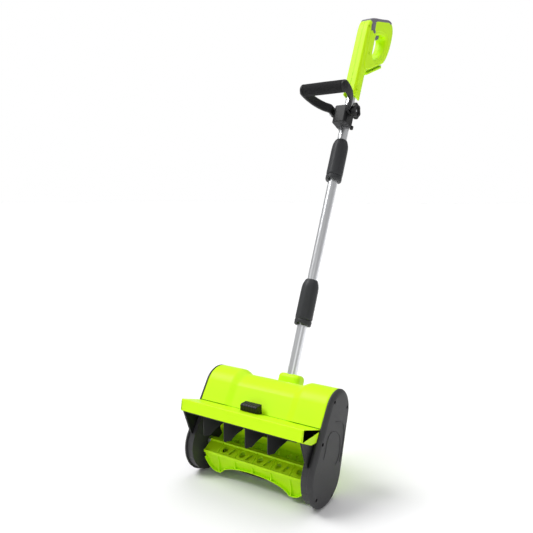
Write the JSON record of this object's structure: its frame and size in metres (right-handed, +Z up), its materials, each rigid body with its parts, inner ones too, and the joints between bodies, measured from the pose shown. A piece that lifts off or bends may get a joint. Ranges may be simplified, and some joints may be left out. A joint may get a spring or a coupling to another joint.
{
  "type": "cordless snow shovel",
  "caption": "Lightweight powered snow shovel: a rotor in an open-fronted housing, steering vanes, a sectional shaft, a front bail and a rear handle",
  "frame": {"origin": "middle of the bounding box on the ground, under the tool", "axes": "+Z up, +X to the right of someone facing the mouth's front from behind the picture's side, -Y towards the mouth, +Y towards the user at the handle"},
  "size_m": [0.335, 0.7308, 1.1401],
  "materials": {
    "lime_plastic": "fine-textured moulded ABS, satin",
    "rotor_plastic": "moulded, satin, tougher and slightly duller than the housing",
    "cover_plastic": "charcoal, fine grain",
    "black_plastic": "black, satin",
    "sleeve_plastic": "dark grey, satin",
    "soft_grey_plastic": "soft-touch grey",
    "foam": "closed-cell foam, matt",
    "rubber": "matt",
    "tube_alloy": "satin anodised",
    "zinc_steel": "zinc plated",
    "motor_paint": "dark can",
    "pulley_alloy": "as cast"
  },
  "bodies": {
    "tool": {"housing_shell": "lime_plastic", "visor": "lime_plastic", "hood_liner": "black_plastic", "side_frame_left": "cover_plastic", "side_frame_right": "cover_plastic", "hood_wing_left": "black_plastic", "hood_wing_right": "black_plastic", "end_cover_left": "cover_plastic", "end_cover_right": "cover_plastic", "scraper_bar": "cover_plastic", "tube_socket": "lime_plastic", "motor_body": "motor_paint", "drive_belt": "rubber", "rotor_bearing_left": "zinc_steel", "rotor_bearing_right": "zinc_steel", "lower_tube": "tube_alloy", "middle_tube": "tube_alloy", "upper_tube": "tube_alloy", "power_cable": "rubber", "lower_sleeve": "sleeve_plastic", "upper_sleeve": "sleeve_plastic", "handle_left": "lime_plastic", "handle_right": "lime_plastic", "grip_overmould": "soft_grey_plastic", "trigger_switch": "black_plastic", "battery_mount": "lime_plastic", "trigger_spring": "zinc_steel"},
    "rotor_unit": {"rotor": "rotor_plastic", "rotor_shaft": "zinc_steel", "rotor_pulley": "pulley_alloy"},
    "motor_armature": {"motor_shaft": "zinc_steel", "drive_pulley": "zinc_steel"},
    "direction_slider": {"vane_link_bar": "black_plastic", "slider_knob": "black_plastic"},
    "vane_unit_1": {"vane_1": "black_plastic"},
    "vane_unit_2": {"vane_2": "black_plastic"},
    "vane_unit_3": {"vane_3": "black_plastic"},
    "vane_unit_4": {"vane_4": "black_plastic"},
    "lower_lock": {"lower_lock_ring": "sleeve_plastic"},
    "upper_lock": {"upper_lock_ring": "sleeve_plastic"},
    "clamp": {"clamp_front": "black_plastic", "clamp_rear": "black_plastic"},
    "clamp_screw": {"clamp_bolt": "zinc_steel", "clamp_knob": "black_plastic"},
    "bail": {"bail_frame": "black_plastic", "bail_grip": "foam"},
    "trigger_unit": {"trigger": "soft_grey_plastic"},
    "lock_button_unit": {"lock_button": "soft_grey_plastic"}
  },
  "joints": [
    {"name": "rotor_spin", "type": "hinge", "parent": "tool", "child": "rotor_unit", "pos_m": [0, -0.2829, 0.0678], "axis": [1, 0, 0], "continuous": true},
    {"name": "motor_spin", "type": "hinge", "parent": "tool", "child": "motor_armature", "pos_m": [0, -0.2319, 0.18], "axis": [1, 0, 0], "continuous": true},
    {"name": "direction_slide", "type": "slide", "parent": "tool", "child": "direction_slider", "axis": [1, 0, 0], "range_m": [0, 0.01816]},
    {"name": "vane_1_turn", "type": "hinge", "parent": "tool", "child": "vane_unit_1", "pos_m": [-0.0855, -0.3074, 0.12], "axis": [0, 0, 1], "range_deg": [0, 54.2]},
    {"name": "vane_2_turn", "type": "hinge", "parent": "tool", "child": "vane_unit_2", "pos_m": [-0.0285, -0.3074, 0.12], "axis": [0, 0, 1], "range_deg": [0, 54.2]},
    {"name": "vane_3_turn", "type": "hinge", "parent": "tool", "child": "vane_unit_3", "pos_m": [0.0285, -0.3074, 0.12], "axis": [0, 0, 1], "range_deg": [0, 54.2]},
    {"name": "vane_4_turn", "type": "hinge", "parent": "tool", "child": "vane_unit_4", "pos_m": [0.0855, -0.3074, 0.12], "axis": [0, 0, 1], "range_deg": [0, 54.2]},
    {"name": "trigger_pull", "type": "hinge", "parent": "tool", "child": "trigger_unit", "pos_m": [0, 0.2607, 1.08399], "axis": [1, 0, 0], "range_deg": [0, 9], "stiffness_Nm_per_rad": 1.2, "springref_deg": -2.86, "deforming": ["trigger_spring"]},
    {"name": "lock_button_press", "type": "slide", "parent": "tool", "child": "lock_button_unit", "axis": [-1, 0, 0], "range_m": [0, 0.003], "stiffness_N_per_m": 250, "springref_m": -0.0005},
    {"name": "clamp_slide", "type": "slide", "parent": "tool", "child": "clamp", "axis": [0, 0.3907, 0.9205], "range_m": [-0.03, 0.02]},
    {"name": "bail_tilt", "type": "hinge", "parent": "clamp", "child": "bail", "pos_m": [0, 0.08569, 0.85084], "axis": [1, 0, 0], "range_deg": [-55, 55]},
    {"name": "clamp_knob_turn", "type": "hinge", "parent": "clamp", "child": "clamp_screw", "pos_m": [0, 0.08569, 0.85084], "axis": [1, 0, 0], "continuous": true},
    {"name": "lower_lock_turn", "type": "hinge", "parent": "tool", "child": "lower_lock", "pos_m": [0, -0.10645, 0.33164], "axis": [0, 0.3907, 0.9205], "range_deg": [0, 60]},
    {"name": "upper_lock_turn", "type": "hinge", "parent": "tool", "child": "upper_lock", "pos_m": [0, 0.04086, 0.67867], "axis": [0, 0.3907, 0.9205], "range_deg": [0, 60]}
  ],
  "couplings": [
    {"joint": "motor_spin", "follows": "rotor_spin", "ratio": 2.4},
    {"joint": "vane_1_turn", "follows": "direction_slide", "rad_per_m": 51.899},
    {"joint": "vane_2_turn", "follows": "direction_slide", "rad_per_m": 51.899},
    {"joint": "vane_3_turn", "follows": "direction_slide", "rad_per_m": 51.899},
    {"joint": "vane_4_turn", "follows": "direction_slide", "rad_per_m": 51.899}
  ]
}
